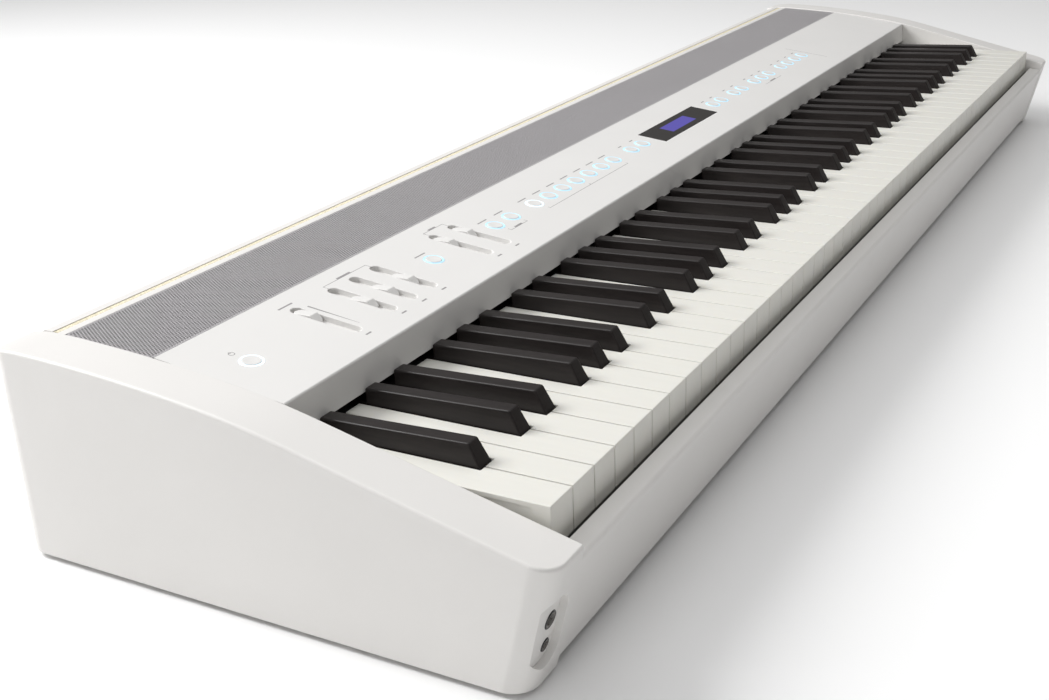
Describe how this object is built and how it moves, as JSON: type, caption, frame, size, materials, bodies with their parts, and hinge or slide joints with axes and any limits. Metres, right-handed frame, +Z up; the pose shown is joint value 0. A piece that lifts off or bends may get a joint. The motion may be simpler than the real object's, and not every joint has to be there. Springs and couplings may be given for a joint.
{
  "type": "portable digital piano",
  "caption": "Flat white portable digital piano: end blocks, sloping control panel with lit ring buttons and slide controls, speaker strip and weighted keyboard.",
  "frame": {"origin": "under the middle of the case, at the floor that its feet stand on", "axes": "+X along the keyboard from bass to treble, +Y away from the player, +Z up"},
  "size_m": [1.291, 0.3456, 0.129],
  "materials": {
    "white_case": "satin white moulded plastic",
    "white_panel": "satin white moulded plastic",
    "dark_board": "black coated fibreboard",
    "grille_metal": "fine perforated sheet, painted",
    "frame_steel": "zinc plated",
    "felt": "felt",
    "ring_light": "translucent, lit pale blue",
    "display_black": "clear dark window",
    "screen": "lit screen",
    "board_green": "circuit board",
    "speaker_black": "paper cone and frame",
    "socket_black": "moulded",
    "rubber": "soft rubber",
    "screw_steel": "black zinc",
    "white_key": "ivory feel, fine grain",
    "black_key": "ebony feel, satin",
    "button_white": "satin",
    "slider_white": "satin"
  },
  "bodies": {
    "case": {"left_end_block": "white_case", "right_end_block": "white_case", "bottom_board": "dark_board", "front_rail": "white_case", "control_panel": "white_panel", "speaker_grille": "grille_metal", "rear_rail": "white_case", "back_cover": "white_case", "key_frame": "frame_steel", "key_felts": "felt", "button_light_rings": "ring_light", "display_window": "display_black", "display_module": "screen", "circuit_boards": "board_green", "speakers": "speaker_black", "jacks": "socket_black", "rubber_feet": "rubber", "case_screws": "screw_steel"},
    "keys_c": {"keys_c": "white_key"},
    "keys_c_sharp": {"keys_c_sharp": "black_key"},
    "keys_d": {"keys_d": "white_key"},
    "keys_d_sharp": {"keys_d_sharp": "black_key"},
    "keys_e": {"keys_e": "white_key"},
    "keys_f": {"keys_f": "white_key"},
    "keys_f_sharp": {"keys_f_sharp": "black_key"},
    "keys_g": {"keys_g": "white_key"},
    "keys_g_sharp": {"keys_g_sharp": "black_key"},
    "keys_a": {"keys_a": "white_key"},
    "keys_a_sharp": {"keys_a_sharp": "black_key"},
    "keys_b": {"keys_b": "white_key"},
    "power_button": {"power_button": "button_white"},
    "equalizer_button": {"equalizer_button": "button_white"},
    "split_button": {"split_button": "button_white"},
    "dual_button": {"dual_button": "button_white"},
    "tone_button_1": {"tone_button_1": "button_white"},
    "tone_button_2": {"tone_button_2": "button_white"},
    "tone_button_3": {"tone_button_3": "button_white"},
    "tone_button_4": {"tone_button_4": "button_white"},
    "tone_button_5": {"tone_button_5": "button_white"},
    "tone_button_6": {"tone_button_6": "button_white"},
    "tone_button_7": {"tone_button_7": "button_white"},
    "song_button_1": {"song_button_1": "button_white"},
    "song_button_2": {"song_button_2": "button_white"},
    "exit_button": {"exit_button": "button_white"},
    "enter_button": {"enter_button": "button_white"},
    "minus_button": {"minus_button": "button_white"},
    "plus_button": {"plus_button": "button_white"},
    "record_button_1": {"record_button_1": "button_white"},
    "record_button_2": {"record_button_2": "button_white"},
    "record_button_3": {"record_button_3": "button_white"},
    "function_button_1": {"function_button_1": "button_white"},
    "function_button_2": {"function_button_2": "button_white"},
    "function_button_3": {"function_button_3": "button_white"},
    "function_button_4": {"function_button_4": "button_white"},
    "volume_slider": {"volume_slider": "slider_white"},
    "equalizer_slider_1": {"equalizer_slider_1": "slider_white"},
    "equalizer_slider_2": {"equalizer_slider_2": "slider_white"},
    "equalizer_slider_3": {"equalizer_slider_3": "slider_white"},
    "balance_slider_1": {"balance_slider_1": "slider_white"},
    "balance_slider_2": {"balance_slider_2": "slider_white"}
  },
  "joints": [
    {"name": "press_c", "type": "hinge", "parent": "case", "child": "keys_c", "pos_m": [0, 0.0715, 0.076], "axis": [1, 0, 0], "range_deg": [0, 2.5], "stiffness_Nm_per_rad": 6, "springref_deg": -14.32},
    {"name": "press_c_sharp", "type": "hinge", "parent": "case", "child": "keys_c_sharp", "pos_m": [0, 0.0715, 0.076], "axis": [1, 0, 0], "range_deg": [0, 2.5], "stiffness_Nm_per_rad": 6, "springref_deg": -14.32},
    {"name": "press_d", "type": "hinge", "parent": "case", "child": "keys_d", "pos_m": [0, 0.0715, 0.076], "axis": [1, 0, 0], "range_deg": [0, 2.5], "stiffness_Nm_per_rad": 6, "springref_deg": -14.32},
    {"name": "press_d_sharp", "type": "hinge", "parent": "case", "child": "keys_d_sharp", "pos_m": [0, 0.0715, 0.076], "axis": [1, 0, 0], "range_deg": [0, 2.5], "stiffness_Nm_per_rad": 6, "springref_deg": -14.32},
    {"name": "press_e", "type": "hinge", "parent": "case", "child": "keys_e", "pos_m": [0, 0.0715, 0.076], "axis": [1, 0, 0], "range_deg": [0, 2.5], "stiffness_Nm_per_rad": 6, "springref_deg": -14.32},
    {"name": "press_f", "type": "hinge", "parent": "case", "child": "keys_f", "pos_m": [0, 0.0715, 0.076], "axis": [1, 0, 0], "range_deg": [0, 2.5], "stiffness_Nm_per_rad": 6, "springref_deg": -14.32},
    {"name": "press_f_sharp", "type": "hinge", "parent": "case", "child": "keys_f_sharp", "pos_m": [0, 0.0715, 0.076], "axis": [1, 0, 0], "range_deg": [0, 2.5], "stiffness_Nm_per_rad": 6, "springref_deg": -14.32},
    {"name": "press_g", "type": "hinge", "parent": "case", "child": "keys_g", "pos_m": [0, 0.0715, 0.076], "axis": [1, 0, 0], "range_deg": [0, 2.5], "stiffness_Nm_per_rad": 6, "springref_deg": -14.32},
    {"name": "press_g_sharp", "type": "hinge", "parent": "case", "child": "keys_g_sharp", "pos_m": [0, 0.0715, 0.076], "axis": [1, 0, 0], "range_deg": [0, 2.5], "stiffness_Nm_per_rad": 6, "springref_deg": -14.32},
    {"name": "press_a", "type": "hinge", "parent": "case", "child": "keys_a", "pos_m": [0, 0.0715, 0.076], "axis": [1, 0, 0], "range_deg": [0, 2.5], "stiffness_Nm_per_rad": 6, "springref_deg": -14.32},
    {"name": "press_a_sharp", "type": "hinge", "parent": "case", "child": "keys_a_sharp", "pos_m": [0, 0.0715, 0.076], "axis": [1, 0, 0], "range_deg": [0, 2.5], "stiffness_Nm_per_rad": 6, "springref_deg": -14.32},
    {"name": "press_b", "type": "hinge", "parent": "case", "child": "keys_b", "pos_m": [0, 0.0715, 0.076], "axis": [1, 0, 0], "range_deg": [0, 2.5], "stiffness_Nm_per_rad": 6, "springref_deg": -14.32},
    {"name": "push_power_button", "type": "slide", "parent": "case", "child": "power_button", "axis": [0, 0.1291, -0.9916], "range_m": [0, 0.0008], "stiffness_N_per_m": 300, "springref_m": -0.002},
    {"name": "push_equalizer_button", "type": "slide", "parent": "case", "child": "equalizer_button", "axis": [0, 0.1291, -0.9916], "range_m": [0, 0.0008], "stiffness_N_per_m": 300, "springref_m": -0.002},
    {"name": "push_split_button", "type": "slide", "parent": "case", "child": "split_button", "axis": [0, 0.1291, -0.9916], "range_m": [0, 0.0008], "stiffness_N_per_m": 300, "springref_m": -0.002},
    {"name": "push_dual_button", "type": "slide", "parent": "case", "child": "dual_button", "axis": [0, 0.1291, -0.9916], "range_m": [0, 0.0008], "stiffness_N_per_m": 300, "springref_m": -0.002},
    {"name": "push_tone_button_1", "type": "slide", "parent": "case", "child": "tone_button_1", "axis": [0, 0.1291, -0.9916], "range_m": [0, 0.0008], "stiffness_N_per_m": 300, "springref_m": -0.002},
    {"name": "push_tone_button_2", "type": "slide", "parent": "case", "child": "tone_button_2", "axis": [0, 0.1291, -0.9916], "range_m": [0, 0.0008], "stiffness_N_per_m": 300, "springref_m": -0.002},
    {"name": "push_tone_button_3", "type": "slide", "parent": "case", "child": "tone_button_3", "axis": [0, 0.1291, -0.9916], "range_m": [0, 0.0008], "stiffness_N_per_m": 300, "springref_m": -0.002},
    {"name": "push_tone_button_4", "type": "slide", "parent": "case", "child": "tone_button_4", "axis": [0, 0.1291, -0.9916], "range_m": [0, 0.0008], "stiffness_N_per_m": 300, "springref_m": -0.002},
    {"name": "push_tone_button_5", "type": "slide", "parent": "case", "child": "tone_button_5", "axis": [0, 0.1291, -0.9916], "range_m": [0, 0.0008], "stiffness_N_per_m": 300, "springref_m": -0.002},
    {"name": "push_tone_button_6", "type": "slide", "parent": "case", "child": "tone_button_6", "axis": [0, 0.1291, -0.9916], "range_m": [0, 0.0008], "stiffness_N_per_m": 300, "springref_m": -0.002},
    {"name": "push_tone_button_7", "type": "slide", "parent": "case", "child": "tone_button_7", "axis": [0, 0.1291, -0.9916], "range_m": [0, 0.0008], "stiffness_N_per_m": 300, "springref_m": -0.002},
    {"name": "push_song_button_1", "type": "slide", "parent": "case", "child": "song_button_1", "axis": [0, 0.1291, -0.9916], "range_m": [0, 0.0008], "stiffness_N_per_m": 300, "springref_m": -0.002},
    {"name": "push_song_button_2", "type": "slide", "parent": "case", "child": "song_button_2", "axis": [0, 0.1291, -0.9916], "range_m": [0, 0.0008], "stiffness_N_per_m": 300, "springref_m": -0.002},
    {"name": "push_exit_button", "type": "slide", "parent": "case", "child": "exit_button", "axis": [0, 0.1291, -0.9916], "range_m": [0, 0.0008], "stiffness_N_per_m": 300, "springref_m": -0.002},
    {"name": "push_enter_button", "type": "slide", "parent": "case", "child": "enter_button", "axis": [0, 0.1291, -0.9916], "range_m": [0, 0.0008], "stiffness_N_per_m": 300, "springref_m": -0.002},
    {"name": "push_minus_button", "type": "slide", "parent": "case", "child": "minus_button", "axis": [0, 0.1291, -0.9916], "range_m": [0, 0.0008], "stiffness_N_per_m": 300, "springref_m": -0.002},
    {"name": "push_plus_button", "type": "slide", "parent": "case", "child": "plus_button", "axis": [0, 0.1291, -0.9916], "range_m": [0, 0.0008], "stiffness_N_per_m": 300, "springref_m": -0.002},
    {"name": "push_record_button_1", "type": "slide", "parent": "case", "child": "record_button_1", "axis": [0, 0.1291, -0.9916], "range_m": [0, 0.0008], "stiffness_N_per_m": 300, "springref_m": -0.002},
    {"name": "push_record_button_2", "type": "slide", "parent": "case", "child": "record_button_2", "axis": [0, 0.1291, -0.9916], "range_m": [0, 0.0008], "stiffness_N_per_m": 300, "springref_m": -0.002},
    {"name": "push_record_button_3", "type": "slide", "parent": "case", "child": "record_button_3", "axis": [0, 0.1291, -0.9916], "range_m": [0, 0.0008], "stiffness_N_per_m": 300, "springref_m": -0.002},
    {"name": "push_function_button_1", "type": "slide", "parent": "case", "child": "function_button_1", "axis": [0, 0.1291, -0.9916], "range_m": [0, 0.0008], "stiffness_N_per_m": 300, "springref_m": -0.002},
    {"name": "push_function_button_2", "type": "slide", "parent": "case", "child": "function_button_2", "axis": [0, 0.1291, -0.9916], "range_m": [0, 0.0008], "stiffness_N_per_m": 300, "springref_m": -0.002},
    {"name": "push_function_button_3", "type": "slide", "parent": "case", "child": "function_button_3", "axis": [0, 0.1291, -0.9916], "range_m": [0, 0.0008], "stiffness_N_per_m": 300, "springref_m": -0.002},
    {"name": "push_function_button_4", "type": "slide", "parent": "case", "child": "function_button_4", "axis": [0, 0.1291, -0.9916], "range_m": [0, 0.0008], "stiffness_N_per_m": 300, "springref_m": -0.002},
    {"name": "slide_volume_slider", "type": "slide", "parent": "case", "child": "volume_slider", "axis": [0, 0.9916, 0.1291], "range_m": [-0.0265, 0.0015]},
    {"name": "slide_equalizer_slider_1", "type": "slide", "parent": "case", "child": "equalizer_slider_1", "axis": [0, 0.9916, 0.1291], "range_m": [-0.0124, 0.0156]},
    {"name": "slide_equalizer_slider_2", "type": "slide", "parent": "case", "child": "equalizer_slider_2", "axis": [0, 0.9916, 0.1291], "range_m": [-0.0124, 0.0156]},
    {"name": "slide_equalizer_slider_3", "type": "slide", "parent": "case", "child": "equalizer_slider_3", "axis": [0, 0.9916, 0.1291], "range_m": [-0.0124, 0.0156]},
    {"name": "slide_balance_slider_1", "type": "slide", "parent": "case", "child": "balance_slider_1", "axis": [0, 0.9916, 0.1291], "range_m": [-0.0255, 0.0025]},
    {"name": "slide_balance_slider_2", "type": "slide", "parent": "case", "child": "balance_slider_2", "axis": [0, 0.9916, 0.1291], "range_m": [-0.0255, 0.0025]}
  ]
}
